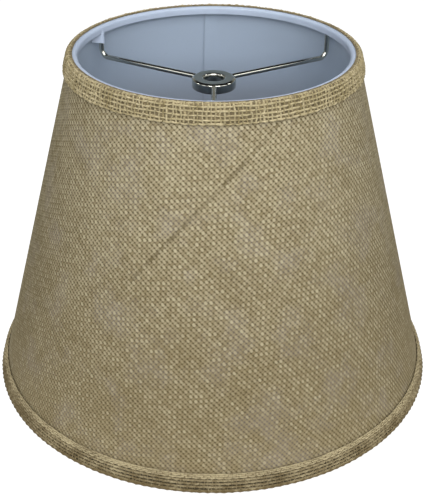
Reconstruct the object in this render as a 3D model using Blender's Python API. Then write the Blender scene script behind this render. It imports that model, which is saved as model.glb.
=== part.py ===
"""Tapered hardback lamp shade with a washer spider fitter, as an assembly of separate pieces.

Metres, +Z up.  The origin is the centre of the bottom rim, on the surface that the shade stands on.
One spider arm points along -Y, the other two at 120 degrees to it.
"""

import math

import bmesh
import bpy
from mathutils import Matrix, Vector

MM = 0.001

# Shade: over the outer trims
TOP_DIAMETER = 178 * MM
BOTTOM_DIAMETER = 296.6 * MM
HEIGHT = 221.3 * MM

# Layers of the wall, measured along the radius from the outside in
TRIM_THICKNESS = 2.1 * MM
CLOTH_THICKNESS = 0.8 * MM
LINER_THICKNESS = 0.4 * MM
GLUE_GAP = 0.3 * MM

# Trims and tapes
TOP_TRIM_HEIGHT = 12.0 * MM
BOTTOM_TRIM_HEIGHT = 11.2 * MM
TRIM_FOLD_THICKNESS = 0.8 * MM
TRIM_EDGE_RADIUS = 1.0 * MM
TAPE_THICKNESS = 0.5 * MM
TAPE_HEIGHT = 7.0 * MM

# Rings
RING_WIRE_RADIUS = 1.5 * MM

# Spider fitter
ARM_ANGLES = {"front": -90, "right": 30, "left": 150}
ARM_WIRE_RADIUS = 1.6 * MM
ARM_BEND_RADIUS = 5.0 * MM
ARM_DROP = 21.0 * MM
HUB_RADIUS = 13.6 * MM
HUB_HOLE_RADIUS = 6.2 * MM
HUB_THICKNESS = 6.1 * MM
HUB_DROP = 19.1 * MM
HUB_CHAMFER = 0.7 * MM

# Patch of tape over the left arm's weld
PATCH_TOP_DROP = 7.6 * MM
PATCH_BOTTOM_DROP = 12.8 * MM
PATCH_THICKNESS = 0.5 * MM

# Facets round the shade, round the hub, and in a quarter of a small rounding
SHADE_FACETS = 72
HUB_FACETS = 40
ROUNDING_STEPS = 3
ARC_STEPS = 4

TAPER = (BOTTOM_DIAMETER - TOP_DIAMETER) / 2 / HEIGHT
CLOTH_INSET = TRIM_THICKNESS + GLUE_GAP
LINER_INSET = CLOTH_INSET + CLOTH_THICKNESS + GLUE_GAP
INSIDE_INSET = LINER_INSET + LINER_THICKNESS
WALL_END = TRIM_FOLD_THICKNESS + GLUE_GAP
RING_DROP = RING_WIRE_RADIUS + GLUE_GAP + TAPE_THICKNESS + 0.1 * MM


def wall_radius(z, inset=0.0):
    """Radius of the tapered wall at height z, inset from the outer face of the trims."""
    return BOTTOM_DIAMETER / 2 - TAPER * z - inset


TOP_RING_Z = HEIGHT - RING_DROP
BOTTOM_RING_Z = RING_DROP
TOP_RING_RADIUS = wall_radius(TOP_RING_Z, INSIDE_INSET) - GLUE_GAP - RING_WIRE_RADIUS
# The wall widens downwards, so the lower side of the bottom ring is clear of it as well
BOTTOM_RING_RADIUS = wall_radius(2 * BOTTOM_RING_Z, INSIDE_INSET) - GLUE_GAP - RING_WIRE_RADIUS


def material(name, colour, roughness, metallic=0.0):
    """A Principled material with one colour."""
    made = bpy.data.materials.new(name)
    made.use_nodes = True
    shader = made.node_tree.nodes["Principled BSDF"]
    shader.inputs["Base Color"].default_value = (*colour, 1.0)
    shader.inputs["Roughness"].default_value = roughness
    shader.inputs["Metallic"].default_value = metallic
    return made


def add_object(name, mesh, finish):
    """Put a mesh in the scene as a named piece, shaded smooth except at its sharp edges."""
    mesh.shade_smooth()
    mesh.set_sharp_from_angle(angle=math.radians(35))
    piece = bpy.data.objects.new(name, mesh)
    piece.data.materials.append(finish)
    bpy.context.collection.objects.link(piece)
    return piece


def turned(name, outline, finish, facets=SHADE_FACETS):
    """Turn a closed outline of (radius, height) points round the Z axis."""
    bm = bmesh.new()
    corners = [bm.verts.new((radius, 0.0, z)) for radius, z in outline]
    edges = [bm.edges.new((a, b)) for a, b in zip(corners, corners[1:] + corners[:1])]
    bmesh.ops.spin(
        bm,
        geom=corners + edges,
        cent=(0, 0, 0),
        axis=(0, 0, 1),
        angle=math.tau,
        steps=facets,
        use_merge=True,
    )
    bmesh.ops.recalc_face_normals(bm, faces=bm.faces)
    mesh = bpy.data.meshes.new(name)
    bm.to_mesh(mesh)
    bm.free()
    return add_object(name, mesh, finish)


def arc(centre, radius, start, end, steps=ARC_STEPS):
    """Points of (radius, height) on an arc, its angles in degrees from the outward direction."""
    points = []
    for step in range(steps + 1):
        angle = math.radians(start + (end - start) * step / steps)
        points.append((centre[0] + radius * math.cos(angle), centre[1] + radius * math.sin(angle)))
    return points


def wall_layer(name, inset, thickness, finish):
    """One layer of the tapered wall, between the folds of the two trims."""
    low, high = WALL_END, HEIGHT - WALL_END
    outline = [
        (wall_radius(low, inset), low),
        (wall_radius(high, inset), high),
        (wall_radius(high, inset + thickness), high),
        (wall_radius(low, inset + thickness), low),
    ]
    return turned(name, outline, finish)


def outer_trim(name, rim_z, up, height, fold_end, finish):
    """A strip of cloth outside the wall that folds over the rim as far as the radius fold_end.

    up is +1 at the top rim and -1 at the bottom rim.
    """
    edge_z = rim_z - up * height
    rounding_z = rim_z - up * TRIM_EDGE_RADIUS
    rounding = arc(
        (wall_radius(rounding_z) - TRIM_EDGE_RADIUS, rounding_z),
        TRIM_EDGE_RADIUS,
        0,
        up * 90,
        ROUNDING_STEPS,
    )
    under_fold_z = rim_z - up * TRIM_FOLD_THICKNESS
    outline = [(wall_radius(edge_z), edge_z), *rounding, (fold_end, rim_z), (fold_end, under_fold_z)]
    outline.append((wall_radius(under_fold_z, TRIM_THICKNESS), under_fold_z))
    outline.append((wall_radius(edge_z, TRIM_THICKNESS), edge_z))
    return turned(name, outline, finish)


def inner_tape(name, ring_radius, ring_z, rim_z, up, finish):
    """A tape that starts beside the trim's fold, rounds the ring and ends on the wall inside."""
    inner = RING_WIRE_RADIUS + GLUE_GAP
    outer = inner + TAPE_THICKNESS
    centre = (ring_radius, ring_z)
    end_z = rim_z - up * TAPE_HEIGHT
    end_radius = wall_radius(end_z, INSIDE_INSET) - GLUE_GAP
    # At the bottom the wall is narrowest at the upper end of the tape's last stretch
    start, end = up * 90, up * 205
    visible_side = arc(centre, outer, start, end)
    hidden_side = arc(centre, inner, end, start)
    lip_z = end_z + up * TAPE_THICKNESS
    lip_radius = min(end_radius, wall_radius(lip_z, INSIDE_INSET) - GLUE_GAP)
    outline = [*visible_side, (lip_radius, end_z), (lip_radius, lip_z), *hidden_side]
    return turned(name, outline, finish)


def ring(name, radius, z, finish):
    """A round wire ring."""
    outline = arc((radius, z), RING_WIRE_RADIUS, 0, 360 - 360 / (2 * ARC_STEPS), 2 * ARC_STEPS - 1)
    return turned(name, outline, finish)


def hub(finish):
    """The thick washer in the middle of the spider, with its edges broken."""
    top = HEIGHT - HUB_DROP
    low = top - HUB_THICKNESS
    half = HUB_CHAMFER / 2
    outline = [
        (HUB_HOLE_RADIUS, low + half),
        (HUB_HOLE_RADIUS + half, low),
        (HUB_RADIUS - half, low),
        (HUB_RADIUS, low + half),
        (HUB_RADIUS, top - HUB_CHAMFER),
        (HUB_RADIUS - HUB_CHAMFER, top),
        (HUB_HOLE_RADIUS + half, top),
        (HUB_HOLE_RADIUS, top - half),
    ]
    return turned("hub_washer", outline, finish, HUB_FACETS)


def spider_arm(name, angle, parent, finish):
    """A wire that runs level from the hub, bends up through a right angle and ends under the ring."""
    start = HUB_RADIUS + GLUE_GAP
    level = HEIGHT - ARM_DROP
    top = TOP_RING_Z - RING_WIRE_RADIUS - GLUE_GAP
    centre = (TOP_RING_RADIUS - ARM_BEND_RADIUS, level + ARM_BEND_RADIUS)
    route = [(start, level), *arc(centre, ARM_BEND_RADIUS, -90, 0), (TOP_RING_RADIUS, top)]
    curve = bpy.data.curves.new(name, "CURVE")
    curve.dimensions = "3D"
    curve.bevel_depth = ARM_WIRE_RADIUS
    curve.bevel_resolution = 4
    curve.use_fill_caps = True
    curve.render_resolution_u = 0
    spline = curve.splines.new("POLY")
    spline.points.add(len(route) - 1)
    for point, (radius, z) in zip(spline.points, route):
        point.co = (radius, 0.0, z, 1.0)
    curve.materials.append(finish)
    arm = bpy.data.objects.new(name, curve)
    arm.parent = parent
    arm.rotation_euler.z = math.radians(angle)
    bpy.context.collection.objects.link(arm)
    return arm


def cut_for_arm(tape, angle, parent):
    """Cut the tape where an arm's upright passes through it to the ring."""
    radius = ARM_WIRE_RADIUS + GLUE_GAP
    top = TOP_RING_Z - RING_WIRE_RADIUS * 0.5
    low = HEIGHT - TAPE_HEIGHT - 2 * MM
    bm = bmesh.new()
    bmesh.ops.create_cone(
        bm, cap_ends=True, segments=16, radius1=radius, radius2=radius, depth=top - low
    )
    mesh = bpy.data.meshes.new("arm_cutter")
    bm.to_mesh(mesh)
    bm.free()
    cutter = bpy.data.objects.new("arm_cutter", mesh)
    turn = Matrix.Rotation(math.radians(angle), 3, "Z")
    cutter.location = turn @ Vector((TOP_RING_RADIUS, 0.0, (top + low) / 2))
    cutter.hide_render = True
    cutter.display_type = "WIRE"
    cutter.parent = parent
    bpy.context.collection.objects.link(cutter)
    cut = tape.modifiers.new("arm_hole", "BOOLEAN")
    cut.operation = "DIFFERENCE"
    cut.object = cutter
    return cutter


def weld_patch(angle, parent, finish):
    """A short piece of tape pressed round the left arm's upright and back to the wall."""
    top = HEIGHT - PATCH_TOP_DROP
    low = HEIGHT - PATCH_BOTTOM_DROP
    inner = ARM_WIRE_RADIUS + GLUE_GAP
    outer = inner + PATCH_THICKNESS
    leg_end = wall_radius(top, INSIDE_INSET) - GLUE_GAP - TOP_RING_RADIUS
    # Plan view round the upright: the open side of the U faces the wall
    outside = [(leg_end, outer), *arc((0, 0), outer, 90, 270), (leg_end, -outer)]
    inside = [(leg_end, -inner), *arc((0, 0), inner, 270, 90), (leg_end, inner)]
    bm = bmesh.new()
    corners = [bm.verts.new((TOP_RING_RADIUS + x, y, low)) for x, y in outside + inside]
    base = bm.faces.new(corners)
    raised = bmesh.ops.extrude_face_region(bm, geom=[base])
    moved = [item for item in raised["geom"] if isinstance(item, bmesh.types.BMVert)]
    bmesh.ops.translate(bm, verts=moved, vec=(0, 0, top - low))
    bmesh.ops.recalc_face_normals(bm, faces=bm.faces)
    mesh = bpy.data.meshes.new("weld_patch_left")
    bm.to_mesh(mesh)
    bm.free()
    patch = add_object("weld_patch_left", mesh, finish)
    patch.parent = parent
    patch.rotation_euler.z = math.radians(angle)
    return patch


def build():
    """Make every piece of the shade."""
    for item in list(bpy.data.objects):
        bpy.data.objects.remove(item, do_unlink=True)

    burlap = material("natural_burlap", (0.40, 0.33, 0.20), 0.9)
    trim_cloth = material("open_burlap", (0.46, 0.38, 0.24), 0.9)
    styrene = material("white_styrene", (0.82, 0.84, 0.88), 0.45)
    white_tape = material("white_tape", (0.85, 0.87, 0.92), 0.6)
    nickel = material("polished_nickel", (0.55, 0.53, 0.50), 0.2, 1.0)
    steel = material("zinc_plated_steel", (0.60, 0.60, 0.60), 0.35, 1.0)

    spider = bpy.data.objects.new("spider_fitter", None)
    bpy.context.collection.objects.link(spider)

    wall_layer("burlap_cover", CLOTH_INSET, CLOTH_THICKNESS, burlap)
    wall_layer("styrene_liner", LINER_INSET, LINER_THICKNESS, styrene)

    top_fold_end = TOP_RING_RADIUS + GLUE_GAP
    bottom_fold_end = BOTTOM_RING_RADIUS + GLUE_GAP
    outer_trim("top_outer_trim", HEIGHT, 1, TOP_TRIM_HEIGHT, top_fold_end, trim_cloth)
    outer_trim("bottom_outer_trim", 0.0, -1, BOTTOM_TRIM_HEIGHT, bottom_fold_end, trim_cloth)

    ring("top_ring", TOP_RING_RADIUS, TOP_RING_Z, steel)
    ring("bottom_ring", BOTTOM_RING_RADIUS, BOTTOM_RING_Z, steel)

    top_tape = inner_tape(
        "top_inner_tape", TOP_RING_RADIUS, TOP_RING_Z, HEIGHT, 1, white_tape
    )
    inner_tape("bottom_inner_tape", BOTTOM_RING_RADIUS, BOTTOM_RING_Z, 0.0, -1, white_tape)

    washer = hub(nickel)
    washer.parent = spider
    for side, angle in ARM_ANGLES.items():
        spider_arm(f"spider_arm_{side}", angle, spider, nickel)
        cut_for_arm(top_tape, angle, spider)
    weld_patch(ARM_ANGLES["left"], spider, white_tape)


build()
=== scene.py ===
"""Tapered burlap lamp shade: its cloth, liner, tapes and nickel spider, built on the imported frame."""

import math
import random
from typing import NamedTuple

import bmesh
import bpy
from bpy.props import FloatProperty, FloatVectorProperty, IntProperty, PointerProperty
from bpy.types import Operator, Panel, PropertyGroup
from mathutils import Matrix, Vector, noise


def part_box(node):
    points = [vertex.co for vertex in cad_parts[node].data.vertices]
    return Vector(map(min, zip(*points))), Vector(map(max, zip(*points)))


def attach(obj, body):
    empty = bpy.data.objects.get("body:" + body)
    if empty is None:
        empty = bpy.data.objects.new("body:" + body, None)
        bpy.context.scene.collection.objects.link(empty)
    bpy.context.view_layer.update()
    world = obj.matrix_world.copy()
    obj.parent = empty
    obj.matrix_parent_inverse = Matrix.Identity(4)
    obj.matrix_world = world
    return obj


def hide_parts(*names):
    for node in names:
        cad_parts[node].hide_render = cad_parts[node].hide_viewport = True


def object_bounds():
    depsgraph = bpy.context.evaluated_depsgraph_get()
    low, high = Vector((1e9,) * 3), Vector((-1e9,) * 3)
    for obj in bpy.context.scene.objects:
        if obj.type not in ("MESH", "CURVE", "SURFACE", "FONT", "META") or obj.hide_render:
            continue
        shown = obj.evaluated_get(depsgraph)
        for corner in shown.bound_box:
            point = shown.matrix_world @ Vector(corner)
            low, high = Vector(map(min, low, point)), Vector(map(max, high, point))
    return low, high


bl_info = {
    "name": "Burlap Lamp Shade",
    "version": (1, 0, 0),
    "blender": (4, 5, 0),
    "location": "View3D > Sidebar > Lamp Shade",
    "description": "Builds a tapered hardback lamp shade in burlap with a washer spider fitter",
    "category": "Object",
}

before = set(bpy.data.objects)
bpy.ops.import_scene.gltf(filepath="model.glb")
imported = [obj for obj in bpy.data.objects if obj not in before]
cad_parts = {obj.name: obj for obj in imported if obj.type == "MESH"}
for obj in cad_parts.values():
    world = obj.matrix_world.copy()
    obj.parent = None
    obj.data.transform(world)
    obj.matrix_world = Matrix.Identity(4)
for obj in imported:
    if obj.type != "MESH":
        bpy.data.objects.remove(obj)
CAD_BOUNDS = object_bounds()

MM = 0.001
BODY = "root"


def linear(hex_colour):
    """A colour given as sRGB hex, as the linear values that Blender uses."""
    values = [int(hex_colour[i : i + 2], 16) / 255 for i in (1, 3, 5)]
    return tuple(v / 12.92 if v <= 0.04045 else ((v + 0.055) / 1.055) ** 2.4 for v in values)


# ---------------------------------------------------------------- the frame's own measures

TOP_TRIM_LOW, TOP_TRIM_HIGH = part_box("top_outer_trim")
BOTTOM_TRIM_LOW, BOTTOM_TRIM_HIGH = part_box("bottom_outer_trim")
COVER_LOW, COVER_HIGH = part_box("burlap_cover")
LINER_LOW, LINER_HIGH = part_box("styrene_liner")
RIM_Z = TOP_TRIM_HIGH.z
TRIM_EDGE_RADIUS = 1.0 * MM
# The outer face of the trims is one straight taper, from just above the floor to the top trim's lower edge
TAPER = (BOTTOM_TRIM_HIGH.x - TOP_TRIM_HIGH.x) / (TOP_TRIM_LOW.z - TRIM_EDGE_RADIUS)
FOOT_RADIUS = BOTTOM_TRIM_HIGH.x + TAPER * TRIM_EDGE_RADIUS
COVER_INSET = FOOT_RADIUS - TAPER * COVER_LOW.z - COVER_HIGH.x
LINER_INSET = FOOT_RADIUS - TAPER * LINER_LOW.z - LINER_HIGH.x
HALF_ANGLE = math.atan(TAPER)
# The liner's free end stands nearly at the back
LINER_SEAM = math.radians(94.3)


def wall_radius(z, inset=0.0):
    """Radius of the wall at height z, inset along the radius from the outer face of the trims."""
    return FOOT_RADIUS - TAPER * z - inset


def wire_ring_of(node):
    """(radius, height, wire radius) of a round wire ring, from its box."""
    low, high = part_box(node)
    wire = (high.z - low.z) / 2
    return high.x - wire, (high.z + low.z) / 2, wire


# ---------------------------------------------------------------- settings


def length(name, description, default_mm):
    """A length in the panel, given in millimetres."""
    return FloatProperty(
        name=name,
        description=description,
        default=default_mm * MM,
        min=0.0,
        unit="LENGTH",
        precision=5,
    )


def colour(name, description, hex_colour):
    """A colour in the panel, given as sRGB hex."""
    return FloatVectorProperty(
        name=name,
        description=description,
        default=linear(hex_colour),
        size=3,
        min=0,
        max=1,
        subtype="COLOR",
    )


class CoverSettings(PropertyGroup):
    """The burlap cover's weave and its colours"""

    warp_pitch: length("Warp pitch", "Distance between the threads that fall to the right", 2.315)
    weft_pitch: length("Weft pitch", "Distance between the threads that rise to the right", 2.047)
    relief: length("Relief", "Height of the thread crossings over the gaps between them", 0.35)
    wander: length("Wander", "How far the threads stray from straight lines", 0.3)
    slack_weft: FloatProperty(
        name="Slack weft",
        description="Count of the slack weft thread",
        default=-128.4,
    )
    slack_middle: FloatProperty(
        name="Slack middle",
        description="Warp count at the middle of the slack thread's shaded run",
        default=-122.0,
    )
    lap: FloatProperty(
        name="Lap",
        description="Angle round the shade that the glued back seam overlaps",
        default=0.07,
        unit="ROTATION",
    )
    light: colour("Thread", "Palest jute of the cover", "#BFB597")
    dark: colour("Thread, brown", "Browner jute of the cover", "#8D8061")
    gap: colour("Gap", "Shaded gaps between the threads", "#53472D")
    haze: colour("Haze", "Where glue and the white liner show through", "#7F797C")


class TrimSettings(PropertyGroup):
    """The threads of the two trims and their colours"""

    pitch: length("Thread pitch", "Distance between neighbouring upright threads", 2.4)
    top_rows: length("Top rows", "Distance between the level threads of the top trim", 2.36)
    bottom_rows: length("Bottom rows", "Distance between the level threads of the bottom trim", 2.1)
    thread: length("Thread radius", "Half the width of one thread", 0.58)
    wave: length("Wave", "How far a thread moves out and in as it crosses the others", 0.28)
    light: colour("Thread", "Pale jute thread of the top trim", "#C8BB98")
    dark: colour("Thread, brown", "Browner jute thread of the top trim", "#978962")
    # The bottom trim's thread colours are darker than the top trim's: painted shade on the lower rim
    bottom_light_shaded: colour("Bottom thread", "Pale jute thread of the bottom trim", "#B9AC8A")
    bottom_dark_shaded: colour("Bottom thread, brown", "Browner jute thread of the bottom trim", "#66583C")
    ground: colour("Ground", "Turned-in cloth that shows between the threads", "#958767")


class InsideSettings(PropertyGroup):
    """The liner and the white tapes"""

    styrene: colour("Styrene", "Liner sheet", "#BECEE2")
    tape: colour("Tape", "White tape over the rings", "#C6D4EA")
    lap: length("Lap", "Overlap of the liner sheet at the back", 9.0)


class MetalSettings(PropertyGroup):
    """The plated metal of the spider and the rings"""

    nickel: colour("Nickel", "Polished nickel plate", "#D8D8CD")
    face: colour("Turned face", "Nickel on the hub's turned face, duller and cooler", "#CCDADE")
    zinc: colour("Zinc", "Zinc plate on the hidden rings", "#B4B6B8")
    wire_sides: IntProperty(name="Wire sides", description="Faces round a spider wire", default=20, min=8)


class StageSettings(PropertyGroup):
    """The floor and the camera's place"""

    floor: colour("Floor", "Plain pale floor", "#858583")
    distance: length("Camera distance", "From the camera to the middle of the shade", 650.8)
    elevation: FloatProperty(
        name="Elevation",
        description="Camera's height angle",
        default=math.radians(28.4),
        unit="ROTATION",
    )
    lens: FloatProperty(name="Lens", description="Focal length in millimetres", default=71.45, unit="CAMERA")


class LampShadeSettings(PropertyGroup):
    """Every group of settings of the shade"""

    cover: PointerProperty(type=CoverSettings)
    trim: PointerProperty(type=TrimSettings)
    inside: PointerProperty(type=InsideSettings)
    metal: PointerProperty(type=MetalSettings)
    stage: PointerProperty(type=StageSettings)


def settings():
    """The shade's settings in this scene."""
    return bpy.context.scene.lamp_shade


# ---------------------------------------------------------------- materials


def add(tree, kind, inputs=None, **values):
    """Add a node, set its own values, and set or link its inputs, which are named or numbered."""
    node = tree.nodes.new(kind)
    for name, value in values.items():
        setattr(node, name, value)
    for name, value in (inputs or {}).items():
        if isinstance(value, bpy.types.NodeSocket):
            tree.links.new(value, node.inputs[name])
        else:
            node.inputs[name].default_value = value
    return node


def maths(tree, operation, *inputs, clamp=False):
    """The result of one Math node."""
    made = add(tree, "ShaderNodeMath", dict(enumerate(inputs)), operation=operation, use_clamp=clamp)
    return made.outputs[0]


def mix_colours(tree, share, first, second, blend="MIX"):
    """Two colours mixed by a share."""
    made = add(
        tree,
        "ShaderNodeMix",
        {"Factor": share},
        data_type="RGBA",
        blend_type=blend,
        clamp_factor=True,
    )
    for name, value in (("A", first), ("B", second)):
        socket = next(s for s in made.inputs if s.name == name and s.type == "RGBA")
        if isinstance(value, bpy.types.NodeSocket):
            tree.links.new(value, socket)
        else:
            socket.default_value = (*value, 1.0)
    return next(s for s in made.outputs if s.type == "RGBA")


def spread(tree, value, low, high, new_low=0.0, new_high=1.0):
    """A value moved smoothly from one range to another."""
    made = add(
        tree,
        "ShaderNodeMapRange",
        {"Value": value, "From Min": low, "From Max": high, "To Min": new_low, "To Max": new_high},
        interpolation_type="SMOOTHSTEP",
    )
    return made.outputs["Result"]


def soft_noise(tree, vector, scale, detail=2.0, roughness=0.5):
    """A noise value between 0 and 1."""
    inputs = {"Vector": vector, "Scale": scale, "Detail": detail, "Roughness": roughness}
    return add(tree, "ShaderNodeTexNoise", inputs).outputs["Fac"]


def joined(tree, x, y, z=0.0):
    """A vector of three values."""
    return add(tree, "ShaderNodeCombineXYZ", {"X": x, "Y": y, "Z": z}).outputs[0]


def new_material(name, roughness, metallic=0.0):
    """A material and its Principled shader."""
    made = bpy.data.materials.new(name)
    made.use_nodes = True
    shader = made.node_tree.nodes["Principled BSDF"]
    shader.inputs["Roughness"].default_value = roughness
    shader.inputs["Metallic"].default_value = metallic
    return made, made.node_tree, shader


def height_of(tree, place):
    """Height above the floor of a point in the piece's own coordinates."""
    return add(tree, "ShaderNodeSeparateXYZ", {0: place}).outputs["Z"]


def shaded(share, base):
    """A colour darkened to a share of itself."""
    return tuple(share * value for value in base)


def raise_surface(tree, shader, height, strength, distance):
    """Link a height to the shader as bump."""
    bump = add(tree, "ShaderNodeBump", {"Height": height, "Strength": strength, "Distance": distance})
    tree.links.new(bump.outputs["Normal"], shader.inputs["Normal"])


def woven_burlap(cloth):
    """Natural jute burlap in plain weave: dry matt threads of uneven width, with shaded gaps between."""
    made, tree, shader = new_material("jute_burlap_woven", 0.95)
    # The map counts threads: each whole square holds one crossing
    cells = add(tree, "ShaderNodeUVMap", uv_map="threads").outputs["UV"]
    place = add(tree, "ShaderNodeTexCoord").outputs["Object"]
    counted = add(tree, "ShaderNodeSeparateXYZ", {0: cells})
    a, b = counted.outputs["X"], counted.outputs["Y"]
    cell_a = maths(tree, "FLOOR", a)
    cell_b = maths(tree, "FLOOR", b)
    part_a = maths(tree, "SUBTRACT", maths(tree, "SUBTRACT", a, cell_a), 0.5)
    part_b = maths(tree, "SUBTRACT", maths(tree, "SUBTRACT", b, cell_b), 0.5)
    parity = maths(tree, "FLOORED_MODULO", maths(tree, "ADD", cell_a, cell_b), 2.0)
    over = maths(tree, "MULTIPLY_ADD", parity, -2.0, 1.0)

    def thread(along, cell, across, part_along, side, seed, width, bright, rest, wave):
        """(height, tone) of the threads that run one way; side is their sense over and under the others."""
        own = add(
            tree, "ShaderNodeTexWhiteNoise", {"W": maths(tree, "ADD", cell, seed)}, noise_dimensions="1D"
        ).outputs["Value"]
        # Slubs: a jute thread thickens and thins every few centimetres
        lane = joined(tree, maths(tree, "MULTIPLY", along, 0.22), maths(tree, "MULTIPLY", cell, 5.37), seed)
        slub = soft_noise(tree, lane, 1.0, 2.0)
        wide = maths(tree, "MULTIPLY_ADD", slub, 0.5, width - 0.25)
        # The twist of the yarn tilts each float a little off its thread
        tilt = maths(tree, "SINE", maths(tree, "MULTIPLY", part_along, math.tau))
        off = maths(tree, "MULTIPLY_ADD", tilt, 0.04 * side, across)
        edge = maths(tree, "DIVIDE", maths(tree, "MULTIPLY", off, 2.0), wide)
        round_top = maths(tree, "SUBTRACT", 1.0, maths(tree, "MULTIPLY", edge, edge), clamp=True)
        profile = maths(tree, "SQRT", round_top)
        crown = maths(tree, "COSINE", maths(tree, "MULTIPLY", part_along, math.pi))
        lift = maths(tree, "MULTIPLY_ADD", maths(tree, "MULTIPLY", over, crown), wave * side, rest)
        height = maths(tree, "MULTIPLY", profile, lift)
        # Fine streaks of fibre run along the thread, and each thread has its own shade
        lengthways = maths(tree, "MULTIPLY", along, 1.1)
        sideways = maths(tree, "MULTIPLY", across, 9.0)
        fibres = soft_noise(tree, joined(tree, lengthways, sideways, cell), 1.0, 3.0, 0.6)
        shade = maths(tree, "MULTIPLY_ADD", own, 0.14, bright - 0.38)
        return height, maths(tree, "MULTIPLY_ADD", fibres, 0.6, shade)

    # The warp is the rounder and paler set, and stands prouder than the weft
    weft = thread(
        a, cell_b, part_b, part_a, side=1.0, seed=0.0, width=0.72, bright=0.44, rest=0.52, wave=0.36
    )
    warp = thread(
        b, cell_a, part_a, part_b, side=-1.0, seed=431.0, width=0.86, bright=0.56, rest=0.66, wave=0.34
    )
    height = maths(tree, "MAXIMUM", weft[0], warp[0])
    warp_on_top = maths(tree, "GREATER_THAN", warp[0], weft[0])
    tones = {"Factor": warp_on_top, "A": weft[1], "B": warp[1]}
    mixed = add(tree, "ShaderNodeMix", tones, data_type="FLOAT")
    patches = soft_noise(tree, place, 1 / (30 * MM), 3.0, 0.6)
    crossing = add(
        tree, "ShaderNodeTexWhiteNoise", {"Vector": joined(tree, cell_a, cell_b)}, noise_dimensions="2D"
    ).outputs["Value"]
    tone = maths(tree, "MULTIPLY_ADD", maths(tree, "SUBTRACT", patches, 0.5), 0.25, mixed.outputs["Result"])
    tone = maths(tree, "MULTIPLY_ADD", maths(tree, "SUBTRACT", crossing, 0.5), 0.3, tone)
    # Darker and browner toward the foot: painted shade on the lower cloth
    tone = maths(tree, "ADD", tone, spread(tree, height_of(tree, place), 0.0, 200 * MM, -0.24, 0.04))
    threads = mix_colours(tree, spread(tree, tone, 0.1, 0.95), tuple(cloth.dark), tuple(cloth.light))
    haze = spread(tree, soft_noise(tree, place, 1 / (24 * MM), 3.0, 0.6), 0.46, 0.72)
    gaps = mix_colours(tree, maths(tree, "MULTIPLY", haze, 0.45), tuple(cloth.gap), tuple(cloth.haze))
    # The low parts of the threads blend into the dark gap colour: painted shade between and under the
    # threads
    shown = mix_colours(tree, spread(tree, height, 0.05, 0.85), gaps, threads)
    # The glue behind the cloth greys whole patches of it a little
    shown = mix_colours(tree, maths(tree, "MULTIPLY", haze, 0.08), shown, tuple(cloth.haze))
    # One slack weft thread at the front left a long shaded line beside it
    beside = maths(tree, "ABSOLUTE", maths(tree, "SUBTRACT", b, cloth.slack_weft))
    reach = maths(tree, "ABSOLUTE", maths(tree, "SUBTRACT", a, cloth.slack_middle))
    broken = soft_noise(tree, joined(tree, maths(tree, "MULTIPLY", a, 0.35), b), 1.0, 2.0)
    narrow = spread(tree, beside, 0.15, 0.75, 1.0, 0.0)
    fading = spread(tree, reach, 15, 42, 1.0, 0.0)
    slack = maths(tree, "MULTIPLY", narrow, fading)
    slack = maths(tree, "MULTIPLY", slack, spread(tree, broken, 0.35, 0.65, 0.12, 0.62))
    shown = mix_colours(tree, slack, shown, tuple(cloth.gap))
    specks = spread(tree, soft_noise(tree, place, 1 / (2.4 * MM), 1.0), 0.74, 0.8)
    shown = mix_colours(tree, maths(tree, "MULTIPLY", specks, 0.5), shown, tuple(cloth.gap))
    tree.links.new(shown, shader.inputs["Base Color"])
    shader.inputs["Specular IOR Level"].default_value = 0.15
    raise_surface(tree, shader, height, 0.5, 0.45 * MM)
    return made


def jute_thread(name, light, dark):
    """Loosely spun jute thread: its fibres give fine streaks and a dry, matt surface."""
    made, tree, shader = new_material(name, 0.93)
    place = add(tree, "ShaderNodeTexCoord").outputs["Object"]
    own = add(tree, "ShaderNodeAttribute", attribute_name="tone").outputs["Fac"]
    streaks = soft_noise(tree, place, 1 / (0.7 * MM), 3.0, 0.6)
    drift = soft_noise(tree, place, 1 / (16 * MM), 2.0)
    tone = maths(tree, "MULTIPLY_ADD", streaks, 0.7, maths(tree, "MULTIPLY", own, 0.5))
    tone = maths(tree, "MULTIPLY_ADD", drift, 0.6, tone)
    shown = mix_colours(tree, spread(tree, tone, 0.5, 1.25), dark, light)
    tree.links.new(shown, shader.inputs["Base Color"])
    shader.inputs["Specular IOR Level"].default_value = 0.15
    raise_surface(tree, shader, streaks, 0.5, 0.25 * MM)
    return made


def turned_in_cloth(name, base, pitch):
    """The folded layer of burlap under the open threads, always in their shade."""
    made, tree, shader = new_material(name, 0.95)
    place = add(tree, "ShaderNodeTexCoord").outputs["Object"]
    weave = soft_noise(tree, place, 1 / pitch, 2.0)
    shown = mix_colours(tree, spread(tree, weave, 0.35, 0.7), shaded(0.55, base), base)
    tree.links.new(shown, shader.inputs["Base Color"])
    raise_surface(tree, shader, weave, 0.6, 0.4 * MM)
    return made


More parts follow.
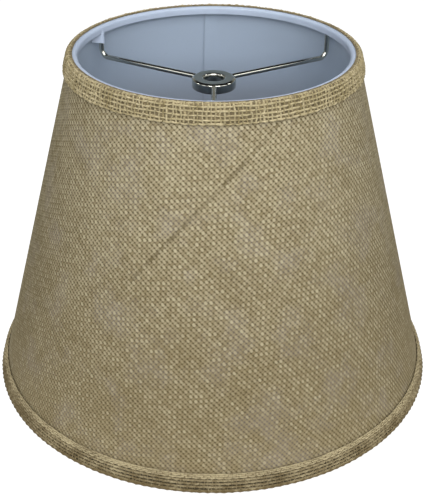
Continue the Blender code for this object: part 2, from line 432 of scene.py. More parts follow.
def styrene_sheet(inside):
    """Extruded white styrene sheet: smooth and satin, with faint orange peel, dust and a line at its lap."""
    made, tree, shader = new_material("white_styrene_sheet", 0.42)
    place = add(tree, "ShaderNodeTexCoord").outputs["Object"]
    clouds = soft_noise(tree, place, 1 / (45 * MM), 3.0, 0.55)
    dust = spread(tree, soft_noise(tree, place, 1 / (2.2 * MM), 1.0), 0.7, 0.82)
    base = tuple(inside.styrene)
    shown = mix_colours(tree, clouds, shaded(0.93, base), base)
    # Darker and warmer below the spider: painted shade deep in the hollow of the lamp shade
    below = spread(tree, height_of(tree, place), 100 * MM, 185 * MM, 1.0, 0.0)
    deep_shade = tuple(value * share for value, share in zip(base, (0.8, 0.69, 0.62)))
    shown = mix_colours(tree, below, shown, deep_shade)
    shown = mix_colours(tree, maths(tree, "MULTIPLY", dust, 0.12), shown, shaded(0.6, base))
    # Glue and shade show along the free end of the sheet, at the back
    across = (-math.sin(LINER_SEAM), math.cos(LINER_SEAM), 0.0)
    beside = add(tree, "ShaderNodeVectorMath", {0: place, 1: across}, operation="DOT_PRODUCT")
    depth = add(tree, "ShaderNodeSeparateXYZ", {0: place}).outputs["Y"]
    off_line = maths(tree, "ABSOLUTE", beside.outputs["Value"])
    line = spread(tree, off_line, 0.3 * MM, 0.8 * MM, 0.14, 0.0)
    line = maths(tree, "MULTIPLY", line, maths(tree, "GREATER_THAN", depth, 0.0))
    shown = mix_colours(tree, line, shown, shaded(0.4, base))
    tree.links.new(shown, shader.inputs["Base Color"])
    raise_surface(tree, shader, soft_noise(tree, place, 1 / (9 * MM), 2.0), 0.12, 0.5 * MM)
    return made


def paper_tape(inside):
    """White glued tape, smooth with small creases where it turns over the ring."""
    made, tree, shader = new_material("white_glued_tape", 0.6)
    place = add(tree, "ShaderNodeTexCoord").outputs["Object"]
    base = tuple(inside.tape)
    clouds = soft_noise(tree, place, 1 / (12 * MM), 3.0, 0.6)
    shown = mix_colours(tree, clouds, shaded(0.86, base), base)
    tree.links.new(shown, shader.inputs["Base Color"])
    raise_surface(tree, shader, soft_noise(tree, place, 1 / (3 * MM), 3.0, 0.6), 0.25, 0.3 * MM)
    return made


def polished_plate(name, base, roughness, grain):
    """Bright plate over steel: mirror-like, a little cloudy, with faint drawing lines in it."""
    made, tree, shader = new_material(name, roughness, 1.0)
    place = add(tree, "ShaderNodeTexCoord").outputs["Object"]
    cloud = soft_noise(tree, place, 1 / (4 * MM), 2.0)
    shown = mix_colours(tree, cloud, shaded(0.9, base), base)
    tree.links.new(shown, shader.inputs["Base Color"])
    worn = soft_noise(tree, place, 1 / (1.2 * MM), 3.0, 0.6)
    blur = spread(tree, worn, 0.3, 0.75, roughness * 0.8, roughness * 1.35)
    tree.links.new(blur, shader.inputs["Roughness"])
    raise_surface(tree, shader, soft_noise(tree, place, 1 / grain, 2.0), 0.08, 0.05 * MM)
    return made


def turned_nickel(base):
    """Nickel-plated face turned on a lathe: a satin ring pattern round the hole."""
    made, tree, shader = new_material("nickel_plate_turned", 0.34, 1.0)
    place = add(tree, "ShaderNodeTexCoord").outputs["Object"]
    rings = add(
        tree,
        "ShaderNodeTexWave",
        {"Vector": place, "Scale": 1 / (2.2 * MM), "Distortion": 1.5, "Detail": 2.0, "Detail Scale": 2.0},
        wave_type="RINGS",
        rings_direction="Z",
    ).outputs["Fac"]
    grime = soft_noise(tree, place, 1 / (2.5 * MM), 3.0, 0.6)
    shown = mix_colours(tree, grime, shaded(0.78, base), base)
    tree.links.new(shown, shader.inputs["Base Color"])
    tree.links.new(spread(tree, grime, 0.3, 0.7, 0.28, 0.45), shader.inputs["Roughness"])
    raise_surface(tree, shader, rings, 0.12, 0.05 * MM)
    return made


# ---------------------------------------------------------------- shared modelling


def finish_piece(name, bm, materials, node=None, smooth_angle=None):
    """Turn a bmesh into a named piece that rides on the shade and stands for a CAD node."""
    mesh = bpy.data.meshes.new(name)
    bm.to_mesh(mesh)
    bm.free()
    mesh.shade_smooth()
    if smooth_angle is not None:
        mesh.set_sharp_from_angle(angle=math.radians(smooth_angle))
    for finish in materials:
        mesh.materials.append(finish)
    piece = bpy.data.objects.new(name, mesh)
    bpy.context.scene.collection.objects.link(piece)
    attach(piece, BODY)
    if node:
        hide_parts(node)
    return piece


def turn(bm, outline, steps):
    """Turn a closed outline of (radius, height) points round the shade's axis; the corners are new."""
    corners = [bm.verts.new((radius, 0.0, z)) for radius, z in outline]
    edges = [bm.edges.new(pair) for pair in zip(corners, corners[1:] + corners[:1])]
    bmesh.ops.spin(
        bm,
        geom=corners + edges,
        cent=(0, 0, 0),
        axis=(0, 0, 1),
        angle=math.tau,
        steps=steps,
        use_merge=True,
    )


def arc(centre, radius, start, end, steps):
    """Points of (radius, height) on an arc, with its angles in degrees from the outward direction."""
    angles = [math.radians(start + (end - start) * i / steps) for i in range(steps + 1)]
    return [(centre[0] + radius * math.cos(a), centre[1] + radius * math.sin(a)) for a in angles]


def smooth_step(value):
    """0 below 0 and 1 above 1, with a smooth rise between."""
    value = min(max(value, 0.0), 1.0)
    return value * value * (3 - 2 * value)


def wobble(angle, lane, turns=6.0):
    """A smooth value from about -0.5 to 0.5 that comes back to itself after one turn."""
    return noise.noise(Vector((turns * math.cos(angle), turns * math.sin(angle), 9.17 * lane)))


def sweep(bm, route, radius, sides):
    """A round wire along a route of points in the XZ plane, with closed ends."""
    first = Vector(route[0])
    heading = (Vector(route[1]) - first).normalized()
    turn_to = heading.to_track_quat("Z", "Y").to_matrix().to_4x4()
    made = bmesh.ops.create_circle(
        bm, segments=sides, radius=radius, cap_ends=True, matrix=Matrix.Translation(first) @ turn_to
    )
    tip = made["verts"][0].link_faces[0]
    at, facing = first, heading
    for index, point in enumerate(route[1:], 1):
        point = Vector(point)
        after = Vector(route[index + 1]) if index + 1 < len(route) else point + (point - at)
        new_facing = ((point - at).normalized() + (after - point).normalized()).normalized()
        grown = bmesh.ops.extrude_face_region(bm, geom=[tip], use_keep_orig=False)
        moved = [v for v in grown["geom"] if isinstance(v, bmesh.types.BMVert)]
        tip = next(f for f in grown["geom"] if isinstance(f, bmesh.types.BMFace))
        bmesh.ops.translate(bm, verts=moved, vec=point - at)
        bend = facing.rotation_difference(new_facing).to_matrix()
        bmesh.ops.rotate(bm, verts=moved, cent=point, matrix=bend)
        at, facing = point, new_facing
    bmesh.ops.recalc_face_normals(bm, faces=bm.faces)


# ---------------------------------------------------------------- the burlap cover

APEX_Z = FOOT_RADIUS / TAPER
SECTOR = math.tau * math.sin(HALF_ANGLE)
# The two thread directions on the flat cloth at the front: nearly on the bias, and a little out of square
WEFT_RUN = Vector((math.cos(math.radians(47)), math.sin(math.radians(47))))
WARP_RUN = Vector((math.cos(math.radians(135.3)), math.sin(math.radians(135.3))))


def cover_at(rho):
    """(radius, height) of the cover's face at a distance rho from the apex of its cone."""
    return rho * math.sin(HALF_ANGLE), APEX_Z - COVER_INSET / TAPER - rho * math.cos(HALF_ANGLE)


def rho_at(z):
    """Distance from the apex of the cover's cone down to height z."""
    return (APEX_Z - COVER_INSET / TAPER - z) / math.cos(HALF_ANGLE)


class SHADE_OT_cover(Operator):
    """Cut the burlap on the bias, raise its thread crossings and wrap it round the cone"""

    bl_idname = "lamp_shade.cover"
    bl_label = "Burlap Cover"

    def execute(self, context):
        cloth = settings().cover
        inner, outer = rho_at(COVER_HIGH.z), rho_at(COVER_LOW.z)
        bm = self.cut(cloth, inner, outer)
        pits = self.dimple(bm, cloth)
        self.wrap(bm, cloth, pits)
        piece = finish_piece("burlap_cover_cloth", bm, [woven_burlap(cloth)], "burlap_cover")
        return {"FINISHED"}

    def cut(self, cloth, inner, outer):
        """A sheet with one corner at each thread crossing, cut a little over the cone's flat pattern."""
        spare = 0.05
        count = 2 * math.ceil(outer / cloth.weft_pitch / 2)
        bm = bmesh.new()
        bmesh.ops.create_grid(bm, x_segments=2 * count, y_segments=2 * count, size=count)
        cells = bm.loops.layers.uv.new("threads")
        for vert in bm.verts:
            vert.co += Vector((0.5, 0.5, 0.0))
        flat = {}
        gone = []
        for vert in bm.verts:
            a, b = vert.co.x, vert.co.y
            at = WEFT_RUN * a * cloth.warp_pitch + WARP_RUN * b * cloth.weft_pitch
            reach = at.length
            angle = abs(math.atan2(at.x, -at.y))
            if inner <= reach <= outer and angle < SECTOR / 2 + spare:
                flat[vert] = at
            else:
                gone.append(vert)
        bmesh.ops.delete(bm, geom=gone, context="VERTS")
        for face in bm.faces:
            for corner in face.loops:
                corner[cells].uv = corner.vert.co.xy
        for vert, at in flat.items():
            a, b = vert.co.x, vert.co.y
            # Each thread has its own small shift, and bundles of them bow together
            warp_off = noise.noise(Vector((a * 0.83, b * 0.02, 3.1)))
            warp_off += noise.noise(Vector((a * 0.05, b * 0.06, 7.7)))
            weft_off = noise.noise(Vector((b * 0.83, a * 0.02, 5.3)))
            weft_off += noise.noise(Vector((b * 0.05, a * 0.06, 1.9)))
            at = at + cloth.wander * (warp_off * WEFT_RUN + weft_off * WARP_RUN)
            vert.co = (at.x, at.y, 0)
        return bm

    def dimple(self, bm, cloth):
        """Poke a corner into every gap between four crossings, and cut the two straight seam edges."""
        cells = bm.loops.layers.uv["threads"]
        made = bmesh.ops.poke(bm, faces=bm.faces[:])
        pits = set(made["verts"])
        for vert in pits:
            around = [c for face in vert.link_faces for c in face.loops if c.vert is not vert]
            middle = sum((c[cells].uv for c in around), Vector((0, 0))) / len(around)
            for face in vert.link_faces:
                for corner in face.loops:
                    if corner.vert is vert:
                        corner[cells].uv = middle
        lap = cloth.lap * math.sin(HALF_ANGLE)
        # The seam's two edges lie on lines from the apex
        for angle, side in ((-SECTOR / 2, -1), (SECTOR / 2 + lap, 1)):
            across = Vector((math.cos(angle), math.sin(angle), 0)) * side
            bmesh.ops.bisect_plane(
                bm,
                geom=[*bm.verts, *bm.edges, *bm.faces],
                dist=1e-6,
                plane_co=(0, 0, 0),
                plane_no=across,
                clear_outer=True,
            )
        return pits

    def wrap(self, bm, cloth, pits):
        """Roll the flat cloth round the cone, with its lap raised at the back."""
        rise_angle, lap_lift, unevenness = 0.05, 0.55 * MM, 7 * MM
        for vert in bm.verts:
            x, y = vert.co.x, vert.co.y
            angle = math.atan2(x, -y) / math.sin(HALF_ANGLE)
            uneven = 1 + 0.5 * noise.noise(Vector((x, y, 0)) / unevenness)
            sunk = cloth.relief * uneven if vert in pits else 0.0
            lap = lap_lift * smooth_step((angle - math.pi + rise_angle) / rise_angle)
            radius, z = cover_at(math.hypot(x, y))
            radius += lap - sunk
            vert.co = (radius * math.sin(angle), -radius * math.cos(angle), z)


# ---------------------------------------------------------------- the trims


class Strip(NamedTuple):
    """Where one trim runs, from its free edge on the cover over the rim to its fold."""

    rim_z: float
    up: int  # 1 at the top rim, -1 at the bottom
    edge_z: float
    fold_end: float  # radius where the cloth is folded in
    inset: float  # of the threads from the wall's outer face
    bend: float  # radius of the turn over the rim
    crown: float  # depth of the threads under the rim


class Make(NamedTuple):
    """How one trim is woven: the sizes of its threads, and how far they stray; the upright size also scales
    the upright threads' tone, painted shade on the bottom trim.
    """

    level: float
    upright: float
    stray: float


def trim_route(strip):
    """Middle of a trim thread as points of (radius, height), from its free edge over the rim to its end."""
    up = strip.up
    foot_rise, lift = 1.6 * MM, 0.55 * MM
    corner_z = strip.rim_z - up * strip.bend
    centre = wall_radius(corner_z) - strip.bend
    side_reach, rim_reach = strip.bend - strip.inset, strip.bend - strip.crown
    turn_over = [
        (centre + side_reach * math.cos(a), corner_z + up * rim_reach * math.sin(a))
        for a in (math.radians(18 * i) for i in range(6))
    ]
    rise_z = strip.edge_z + up * foot_rise
    start = (wall_radius(strip.edge_z, COVER_INSET - lift), strip.edge_z)
    end = (strip.fold_end, strip.rim_z - up * strip.crown)
    return [start, (wall_radius(rise_z, strip.inset), rise_z), *turn_over, end]


def along(route, places):
    """Points at given distances along a route, each with its outward direction; none past the end."""
    points = [Vector(p) for p in route]
    lengths = [(b - a).length for a, b in zip(points, points[1:])]
    found = []
    for place in places:
        left = place
        for a, b, size in zip(points, points[1:], lengths):
            if left <= size:
                heading = (b - a) / size
                found.append((a + heading * left, Vector((heading.y, -heading.x)) * up_of(route)))
                break
            left -= size
    return found


def up_of(route):
    """1 for a route that climbs from its start, -1 for one that falls."""
    return 1 if route[2][1] > route[0][1] else -1


def thread_ring(bm, centre, radius, around, sides):
    """A closed ring of thread: a grid rolled up both ways. Returns its corners with their two angles."""
    made = bmesh.ops.create_grid(bm, x_segments=around, y_segments=sides, size=0.5)["verts"]
    for vert in made:
        turned, rolled = math.tau * (vert.co.x + 0.5), math.tau * (vert.co.y + 0.5)
        reach = centre[0] + radius * math.cos(rolled)
        vert.co = (reach * math.cos(turned), reach * math.sin(turned), centre[1] + radius * math.sin(rolled))
    bmesh.ops.remove_doubles(bm, verts=made, dist=1e-6)
    return [v for v in made if v.is_valid]


class SHADE_OT_trims(Operator):
    """Weave the two open burlap trims thread by thread over their turned-in ground"""

    bl_idname = "lamp_shade.trims"
    bl_label = "Outer Trims"

    def execute(self, context):
        trim = settings().trim
        top, bottom = wire_ring_of("top_ring"), wire_ring_of("bottom_ring")
        # Each row of level thread: its distance from the trim's free edge, its size and its paleness
        top_rows = [(0.95 * MM + trim.top_rows * i, 1.0, 0.55) for i in range(7)]
        # On the bottom trim the paleness is painted light: the pale ledge rows are a painted highlight, the
        # darker rows toward and under the rim are painted shade
        ledge = [(0.45 * MM, 0.9, 0.75), (1.35 * MM, 1.0, 0.75), (2.4 * MM, 1.0, 0.7)]
        ribs = [(4.1 * MM + trim.bottom_rows * i, 1.32, 0.35 - 0.08 * i) for i in range(4)]
        under = [(11.2 * MM, 1.45, -0.9), (12.7 * MM, 1.3, -0.3), (14.1 * MM, 1.2, -0.2)]
        self.weave(
            "top",
            Strip(
                rim_z=RIM_Z,
                up=1,
                edge_z=TOP_TRIM_LOW.z,
                fold_end=top[0] + 1.2 * MM,
                inset=0.8 * MM,
                bend=1.6 * MM,
                crown=0.65 * MM,
            ),
            top_rows,
            (tuple(trim.light), tuple(trim.dark), tuple(trim.ground)),
            Make(level=1.0, upright=1.0, stray=1.0),
        )
        self.weave(
            "bottom",
            Strip(
                rim_z=0.0,
                up=-1,
                edge_z=BOTTOM_TRIM_HIGH.z,
                fold_end=bottom[0] + 1.9 * MM,
                inset=0.65 * MM,
                bend=1.0 * MM,
                crown=0.15 * MM,
            ),
            ledge + ribs + under,
            # Darker threads and a much darker ground for the bottom trim: painted shade
            (tuple(trim.bottom_light_shaded), tuple(trim.bottom_dark_shaded), shaded(0.25, trim.ground)),
            Make(level=1.0, upright=0.5, stray=0.35),
        )
        return {"FINISHED"}

    def weave(self, side, strip, rows, colours, make):
        """One trim: the turned-in ground, the level threads and the upright threads."""
        trim = settings().trim
        light, dark, ground_colour = colours
        route = trim_route(strip)
        circle = math.tau * wall_radius((strip.rim_z + strip.edge_z) / 2)
        threads = 2 * round(circle / trim.pitch / 2)
        finish = jute_thread(f"jute_thread_{side}_trim", light, dark)
        levels = [(at, out, size, pale) for (d, size, pale) in rows for at, out in along(route, [d])]
        level = self.level_threads(side, levels, threads, make, finish)
        steps = []
        for (d, *_), (after, *_) in zip(rows, rows[1:]):
            steps += [d, (d + after) / 2]
        upright = self.upright_threads(side, along(route, steps), threads, make, finish)
        ground = self.ground(side, strip, ground_colour)
        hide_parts(f"{side}_outer_trim")

    def ground(self, side, strip, base):
        """The closed strip of turned-in cloth under the threads."""
        trim = settings().trim
        depth = 2.4 * trim.thread
        thickness = 0.35 * MM
        edge_z = strip.edge_z + strip.up * 1.2 * MM
        under_threads = strip._replace(
            edge_z=edge_z,
            inset=depth,
            bend=strip.bend + 0.4 * MM,
            crown=0.3 * MM,
        )
        low = strip.rim_z - strip.up * (under_threads.crown + thickness)
        inside = [
            (strip.fold_end, low),
            (wall_radius(low, depth + 3 * thickness), low),
            (wall_radius(edge_z, COVER_INSET), edge_z),
        ]
        bm = bmesh.new()
        turn(bm, [*trim_route(under_threads), *inside], 192)
        bmesh.ops.recalc_face_normals(bm, faces=bm.faces)
        finish = turned_in_cloth(f"jute_burlap_{side}_turned_in", base, trim.pitch)
        return finish_piece(f"{side}_trim_ground", bm, [finish], None, 50)

    def level_threads(self, side, places, threads, make, finish):
        """Rings of thread round the shade that wave out and in past the upright threads."""
        trim = settings().trim
        bm = bmesh.new()
        tone = bm.verts.layers.float.new("tone")
        for row, (at, out, size, pale) in enumerate(places):
            for vert in thread_ring(bm, tuple(at), trim.thread * size, 2 * threads, 6):
                angle = math.atan2(vert.co.y, vert.co.x)
                offset = Vector((math.hypot(vert.co.x, vert.co.y), vert.co.z)) - at
                slub = 0.5 * wobble(angle, row + 3.3, 14) + 0.4 * wobble(angle, row + 0.7, 55)
                thick = make.level + make.stray * slub
                wave = trim.wave * math.cos(threads / 2 * angle + math.pi * row)
                drift = 0.5 * wobble(angle, row + 50, 9) + 0.35 * wobble(angle, row + 70, 40)
                slide = make.stray * MM * drift
                along_wall = Vector((-out.y, out.x))
                place = at + offset * thick + out * wave + along_wall * slide
                vert.co = (place.x * math.cos(angle), place.x * math.sin(angle), place.y)
                vert[tone] = pale + 0.3 * (1 + make.stray) * wobble(angle, row + 20, 45)
        bmesh.ops.recalc_face_normals(bm, faces=bm.faces)
        return finish_piece(f"{side}_trim_level_threads", bm, [finish], None)

    def upright_threads(self, side, places, threads, make, finish):
        """Threads that cross the trim from its free edge over the rim, in two alternating sets."""
        trim = settings().trim
        rng = random.Random(f"{side} trim")
        shift = [rng.uniform(-0.16, 0.16) for _ in range(threads)]
        size = [rng.uniform(0.7, 1.2) * make.upright for _ in range(threads)]
        # Tone scaled with make.upright darkens the bottom trim's upright threads: painted shade
        shade = [rng.uniform(0.1, 0.8) * make.upright for _ in range(threads)]
        step = math.tau / threads
        bm = bmesh.new()
        tone = bm.verts.layers.float.new("tone")
        for phase in (0, 1):
            route = []
            for index, (at, out) in enumerate(places):
                # A level thread's own row has even index, where an upright is fully over or under it
                swing = math.cos(math.pi / 2 * index) * (-1 if phase == 0 else 1)
                point = at + out * trim.wave * swing
                route.append((point.x, 0.0, point.y))
            before = len(bm.verts)
            sweep(bm, route, trim.thread * 0.95, 5)
            bm.verts.ensure_lookup_table()
            one = bm.verts[before:]
            bmesh.ops.rotate(bm, verts=one, cent=(0, 0, 0), matrix=Matrix.Rotation(step * phase, 3, "Z"))
            faces = {f for v in one for f in v.link_faces}
            edges = {e for v in one for e in v.link_edges}
            bmesh.ops.spin(
                bm,
                geom=[*one, *edges, *faces],
                cent=(0, 0, 0),
                axis=(0, 0, 1),
                angle=2 * step * (threads // 2 - 1),
                steps=threads // 2 - 1,
                use_duplicate=True,
            )
        for vert in bm.verts:
            angle = math.atan2(vert.co.y, vert.co.x)
            index = round(angle / step) % threads
            centre = round(angle / step) * step
            lean = 0.5 * noise.noise(Vector((index * 1.37, vert.co.z / (4 * MM), 4.0)))
            turned_to = centre + (angle - centre) * size[index] + (shift[index] + lean) * step
            radius = math.hypot(vert.co.x, vert.co.y)
            vert.co = (radius * math.cos(turned_to), radius * math.sin(turned_to), vert.co.z)
            vert[tone] = shade[index]
        bmesh.ops.recalc_face_normals(bm, faces=bm.faces)
        return finish_piece(f"{side}_trim_upright_threads", bm, [finish], None)


# ---------------------------------------------------------------- liner, tapes and rings


class SHADE_OT_liner(Operator):
    """Roll the styrene sheet into a cone that laps over itself at the back"""

    bl_idname = "lamp_shade.liner"
    bl_label = "Styrene Liner"

    def execute(self, context):
        inside = settings().inside
        thickness = 0.4 * MM
        lap_lift = 2.0 * thickness
        columns, rows = 240, 12
        bm = bmesh.new()
        bmesh.ops.create_grid(bm, x_segments=columns, y_segments=rows, size=0.5)
        lap = inside.lap / LINER_HIGH.x
        for vert in bm.verts:
            share, height = vert.co.x + 0.5, vert.co.y + 0.5
            turned = share * (math.tau + lap)
            angle = LINER_SEAM - lap + turned
            z = LINER_LOW.z + height * (LINER_HIGH.z - LINER_LOW.z)
            # The end of the sheet rides up over its start, and its edge shows as the seam
            over = smooth_step((turned - math.tau + 0.5 * lap) / lap)
            radius = wall_radius(z, LINER_INSET + lap_lift * over)
            vert.co = (radius * math.cos(angle), radius * math.sin(angle), z)
        bmesh.ops.solidify(bm, geom=bm.faces[:], thickness=thickness)
        bmesh.ops.recalc_face_normals(bm, faces=bm.faces)
        finish_piece("styrene_liner_sheet", bm, [styrene_sheet(inside)], "styrene_liner", 40)
        return {"FINISHED"}


class SHADE_OT_tapes(Operator):
    """Roll the white tapes over the two rings"""

    bl_idname = "lamp_shade.tapes"
    bl_label = "Inner Tapes"

    def execute(self, context):
        inside = settings().inside
        finish = paper_tape(inside)
        for side, rim_z, up in (("top", RIM_Z, 1), ("bottom", 0.0, -1)):
            radius, z, wire = wire_ring_of(f"{side}_ring")
            low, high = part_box(f"{side}_inner_tape")
            end_z = low.z if up > 0 else high.z
            shell = wire + 0.05 * MM
            thick = 0.35 * MM
            # From under the trim's fold over the ring, then down its inner side to a free lower edge
            start = (radius + 2.6 * MM, rim_z - up * 1.3 * MM)
            over = arc((radius, z), shell + thick, up * 80, up * 180, 8)
            end_z += up * 1.5 * MM
            edge = (over[-1][0] + 0.4 * MM, end_z)
            back_edge = (edge[0] + thick, end_z + up * 0.25 * MM)
            under = arc((radius, z), shell, up * 180, up * 80, 8)
            back_start = (start[0], start[1] - up * thick)
            bm = bmesh.new()
            turn(bm, [start, *over, edge, back_edge, *under, back_start], 256)
            for vert in bm.verts:
                angle = math.atan2(vert.co.y, vert.co.x)
                pucker = 0.12 * MM * wobble(angle, 3, 22) + 0.1 * MM * wobble(angle, 8, 50)
                vert.co.x -= pucker * math.cos(angle)
                vert.co.y -= pucker * math.sin(angle)
            bmesh.ops.recalc_face_normals(bm, faces=bm.faces)
            piece = finish_piece(f"{side}_tape", bm, [finish], f"{side}_inner_tape", 60)
        return {"FINISHED"}


class SHADE_OT_rings(Operator):
    """Bend the two wire rings"""

    bl_idname = "lamp_shade.rings"
    bl_label = "Wire Rings"

    def execute(self, context):
        metal = settings().metal
        finish = polished_plate("zinc_plated_wire", tuple(metal.zinc), 0.38, 0.8 * MM)
        for side in ("top", "bottom"):
            radius, z, wire = wire_ring_of(f"{side}_ring")
            bm = bmesh.new()
            turn(bm, arc((radius, z), wire, 0, 330, 11), 144)
            bmesh.ops.recalc_face_normals(bm, faces=bm.faces)
            finish_piece(f"{side}_wire_ring", bm, [finish], f"{side}_ring")
        return {"FINISHED"}


# ---------------------------------------------------------------- the spider fitter


class SHADE_OT_spider(Operator):
    """Turn the hub washer and bend the three spider wires"""

    bl_idname = "lamp_shade.spider"
    bl_label = "Spider Fitter"

    def execute(self, context):
        metal = settings().metal
        plate = polished_plate("nickel_plate_polished", tuple(metal.nickel), 0.14, 1.5 * MM)
        self.hub(plate, turned_nickel(tuple(metal.face)))
        for side, angle in (("front", -90), ("right", 30), ("left", 150)):
            self.arm(side, angle, plate, metal.wire_sides)
        return {"FINISHED"}

    def hub(self, plate, face):
        """The thick washer, its edges rounded over and its top face turned."""
        low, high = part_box("hub_washer")
        outer = high.x
        hole = 6.2 * MM
        soft = 0.9 * MM
        # A shallow chamfer runs round the face, and the hole's mouth is widened for the harp's stud
        chamfer_run, chamfer_drop = 1.1 * MM, 0.5 * MM
        chamfer_at = 62
        corner = (outer - soft, high.z - chamfer_drop - soft * math.sin(math.radians(chamfer_at)))
        top_edge = arc(corner, soft, 0, chamfer_at, 8)
        face_edge = (top_edge[-1][0] - chamfer_run, high.z)
        mouth, hole_break, low_break = 1.3 * MM, 0.4 * MM, 0.6 * MM
        hole_edge = arc((hole + mouth, high.z - mouth), mouth, 90, 180, 6)
        low_hole = arc((hole + hole_break, low.z + hole_break), hole_break, 180, 270, 3)
        low_edge = arc((outer - low_break, low.z + low_break), low_break, 270, 360, 6)
        bm = bmesh.new()
        turn(bm, [*top_edge, face_edge, *hole_edge, *low_hole, *low_edge], 128)
        bmesh.ops.recalc_face_normals(bm, faces=bm.faces)
        for part in bm.faces:
            if part.normal.z > 0.98:
                part.material_index = 1
        finish_piece("spider_hub_washer", bm, [plate, face], "hub_washer", 20)

    def arm(self, side, angle, plate, wire_sides):
        """One wire, level out from the hub and bent up to the ring."""
        low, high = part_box("spider_arm_front")
        wire = high.x
        level = low.z + wire
        reach = -low.y - wire
        start = -high.y
        bend = 5.0 * MM
        corner = arc((reach - bend, level + bend), bend, -90, 0, 9)
        route = [(start - 0.4 * MM, level), (start + 8 * MM, level), *corner, (reach, high.z)]
        bm = bmesh.new()
        sweep(bm, [(x, 0.0, z) for x, z in route], wire, wire_sides)
        turn_to = Matrix.Rotation(math.radians(angle), 3, "Z")
        bmesh.ops.rotate(bm, verts=bm.verts, cent=(0, 0, 0), matrix=turn_to)
        finish_piece(f"spider_wire_{side}", bm, [plate], f"spider_arm_{side}", 50)


class SHADE_OT_weld_patch(Operator):
    """Press a short piece of white tape over the left wire's weld"""

    bl_idname = "lamp_shade.weld_patch"
    bl_label = "Weld Patch"

    def execute(self, context):
        low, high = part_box("weld_patch_left")
        radius, z, _ = wire_ring_of("top_ring")
        arm_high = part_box("spider_arm_front")[1]
        shell = arm_high.x + 0.3 * MM
        wall = wall_radius(high.z, LINER_INSET + 0.7 * MM) - radius
        slant, crease = 0.25, 0.14 * MM
        # From the wall behind the wire, round its inner side, to an edge a little past the wire's middle
        outline = [(wall, shell + 4.6 * MM), (wall - 0.7 * MM, shell + 2.2 * MM), (0.0, shell + 0.5 * MM)]
        outline += arc((0.0, 0.0), shell, 100, 205, 8)
        bm = bmesh.new()
        foot = low.z + 1.2 * MM
        corners = [bm.verts.new((radius + x, y, foot)) for x, y in outline]
        strip = [bm.edges.new(pair) for pair in zip(corners, corners[1:])]
        rows = 7
        top = z - 0.5 * MM
        for _ in range(rows):
            grown = bmesh.ops.extrude_edge_only(bm, edges=strip)
            moved = {v for v in grown["geom"] if isinstance(v, bmesh.types.BMVert)}
            bmesh.ops.translate(bm, verts=list(moved), vec=(0, 0, (top - foot) / rows))
            edges = [e for e in grown["geom"] if isinstance(e, bmesh.types.BMEdge)]
            strip = [e for e in edges if moved.issuperset(e.verts)]
        for vert in bm.verts:
            # The lower edge is cut on a slant, and the tape is a little creased
            share = (top - vert.co.z) / (top - foot)
            vert.co.z += share * slant * (vert.co.y - shell)
            vert.co.x += crease * noise.noise(vert.co / (1.6 * MM))
        bmesh.ops.solidify(bm, geom=bm.faces[:], thickness=0.22 * MM)
        turn_to = Matrix.Rotation(math.radians(150), 3, "Z")
        bmesh.ops.rotate(bm, verts=bm.verts, cent=(0, 0, 0), matrix=turn_to)
        bmesh.ops.recalc_face_normals(bm, faces=bm.faces)
        finish = paper_tape(settings().inside)
        finish_piece("weld_patch_tape", bm, [finish], "weld_patch_left", 50)
        return {"FINISHED"}


# ---------------------------------------------------------------- stage


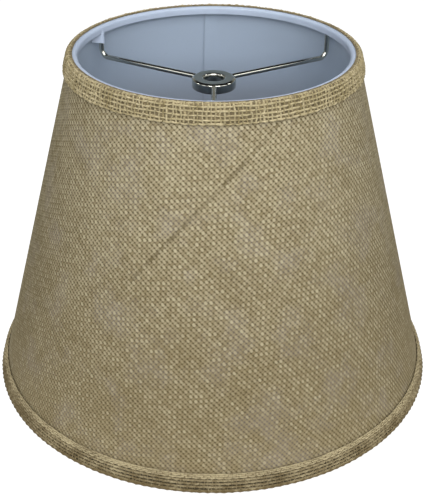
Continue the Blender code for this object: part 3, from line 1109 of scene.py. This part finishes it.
class SHADE_OT_stage(Operator):
    """Set the camera, the pale floor and the soft lights"""

    bl_idname = "lamp_shade.stage"
    bl_label = "Stage"

    def execute(self, context):
        stage = settings().stage
        self.camera(stage)
        self.floor(stage)
        self.lights()
        self.sky()
        context.scene.view_settings.view_transform = "Standard"
        return {"FINISHED"}

    def camera(self, stage):
        """The camera in front of the shade and above it, aimed a little below its middle."""
        # Radians that its aim lies below the shade's middle, off to one side, and rolled
        tilt, swing, roll = 0.0401, 0.0007, 0.0044
        rise = stage.elevation
        low, high = CAD_BOUNDS
        middle = (low + high) / 2
        data = bpy.data.cameras.new("camera")
        data.lens = stage.lens
        data.sensor_width = 36
        camera = bpy.data.objects.new("camera", data)
        away = Vector((0, -math.cos(rise), math.sin(rise)))
        aim = rise + tilt
        back = Vector((math.sin(swing) * math.cos(aim), -math.cos(swing) * math.cos(aim), math.sin(aim)))
        right = Vector((math.cos(swing), math.sin(swing), 0))
        up = back.cross(right)
        level = Matrix((right, up, back)).transposed()
        camera.matrix_world = Matrix.Translation(middle + away * stage.distance) @ (
            level @ Matrix.Rotation(roll, 3, "Z")
        ).to_4x4()
        bpy.context.scene.collection.objects.link(camera)
        bpy.context.scene.camera = camera

    def floor(self, stage):
        """A wide plain floor with a light table in it."""
        made, tree, shader = new_material("pale_floor", 0.9)
        shader.inputs["Base Color"].default_value = (*stage.floor, 1.0)
        # A light table under and behind the shade glows from the shade's foot, and widens toward the back
        place = add(tree, "ShaderNodeTexCoord").outputs["Object"]
        parts = add(tree, "ShaderNodeSeparateXYZ", {0: place})
        depth = parts.outputs["Y"]
        away = add(tree, "ShaderNodeVectorMath", {0: place}, operation="LENGTH").outputs["Value"]
        aside = maths(tree, "MULTIPLY_ADD", depth, -0.25, maths(tree, "ABSOLUTE", parts.outputs["X"]))
        sides = spread(tree, aside, 0.185, 0.3, 1.0, 0.0)
        back = spread(tree, depth, 0.9, 1.4, 1.0, 0.0)
        front = spread(tree, depth, -0.2, -0.16)
        table = maths(tree, "MULTIPLY", maths(tree, "MULTIPLY", sides, back), front)
        # Nothing glows inside the shade, and the floor round the table a little
        foot = spread(tree, away, 0.14, 0.15)
        glow = maths(tree, "MULTIPLY", maths(tree, "MULTIPLY_ADD", table, 0.76, 0.2), foot)
        shader.inputs["Emission Color"].default_value = (1.0, 1.0, 1.0, 1.0)
        tree.links.new(glow, shader.inputs["Emission Strength"])
        bm = bmesh.new()
        bmesh.ops.create_grid(bm, x_segments=1, y_segments=1, size=4.0)
        mesh = bpy.data.meshes.new("floor")
        bm.to_mesh(mesh)
        bm.free()
        mesh.materials.append(made)
        floor = bpy.data.objects.new("floor", mesh)
        floor.location.z = -0.2 * MM
        bpy.context.scene.collection.objects.link(floor)

    def lights(self):
        """A large soft box in front, two at the sides for bright stripes, two behind for shadows."""
        for name, place, size, power in (
            ("front_light", (0.08, -1.0, 1.0), 1.2, 19.2),
            ("left_light", (-1.4, -0.9, 1.2), 0.8, 3.4),
            ("right_light", (1.4, -0.9, 1.2), 0.8, 4.2),
            ("left_back_light", (-1.2, 0.4, 1.3), 0.3, 2.2),
            ("right_back_light", (1.2, 0.4, 1.3), 0.3, 2.2),
        ):
            data = bpy.data.lights.new(name, "AREA")
            data.size = size
            data.energy = power
            light = bpy.data.objects.new(name, data)
            light.location = place
            aim = Vector((0, 0, 0.12)) - light.location
            light.rotation_mode = "QUATERNION"
            light.rotation_quaternion = aim.to_track_quat("-Z", "Y")
            bpy.context.scene.collection.objects.link(light)

    def sky(self):
        """Grey near the horizon and dark overhead, so that the polished metal has dark edges to show."""
        world = bpy.data.worlds.new("studio")
        world.use_nodes = True
        tree = world.node_tree
        tree.nodes.clear()
        direction = add(tree, "ShaderNodeTexCoord").outputs["Generated"]
        upward = add(tree, "ShaderNodeSeparateXYZ", {0: direction}).outputs["Z"]
        near_horizon, overhead = (0.225, 0.225, 0.205), (0.012, 0.012, 0.014)
        shown = mix_colours(tree, spread(tree, upward, 0.45, 0.64), near_horizon, overhead)
        surface = add(tree, "ShaderNodeBackground", {"Color": shown, "Strength": 1.0})
        output = add(tree, "ShaderNodeOutputWorld")
        tree.links.new(surface.outputs[0], output.inputs["Surface"])
        bpy.context.scene.world = world


# ---------------------------------------------------------------- panel and registration

OPERATORS = (
    SHADE_OT_stage,
    SHADE_OT_cover,
    SHADE_OT_trims,
    SHADE_OT_liner,
    SHADE_OT_tapes,
    SHADE_OT_rings,
    SHADE_OT_spider,
    SHADE_OT_weld_patch,
)


class SHADE_PT_panel(Panel):
    """Lists the steps that build the shade"""

    bl_label = "Lamp Shade"
    bl_idname = "SHADE_PT_panel"
    bl_space_type = "VIEW_3D"
    bl_region_type = "UI"
    bl_category = "Lamp Shade"

    def draw(self, context):
        for operator in OPERATORS:
            self.layout.operator(operator.bl_idname)
        for group in ("cover", "trim", "inside", "metal", "stage"):
            box = self.layout.box()
            box.label(text=group.capitalize())
            chosen = getattr(context.scene.lamp_shade, group)
            for name in chosen.bl_rna.properties.keys():
                if name not in ("rna_type", "name"):
                    box.prop(chosen, name)


CLASSES = (
    CoverSettings,
    TrimSettings,
    InsideSettings,
    MetalSettings,
    StageSettings,
    LampShadeSettings,
    *OPERATORS,
    SHADE_PT_panel,
)


def register():
    """Register the classes and the scene's settings."""
    for item in CLASSES:
        bpy.utils.register_class(item)
    bpy.types.Scene.lamp_shade = PointerProperty(type=LampShadeSettings)


def unregister():
    """Take the classes and the settings away again."""
    del bpy.types.Scene.lamp_shade
    for item in reversed(CLASSES):
        bpy.utils.unregister_class(item)


def main():
    """Build every piece in order."""
    register()
    for operator in OPERATORS:
        group, name = operator.bl_idname.split(".")
        getattr(getattr(bpy.ops, group), name)()


if __name__ == "__main__":
    main()
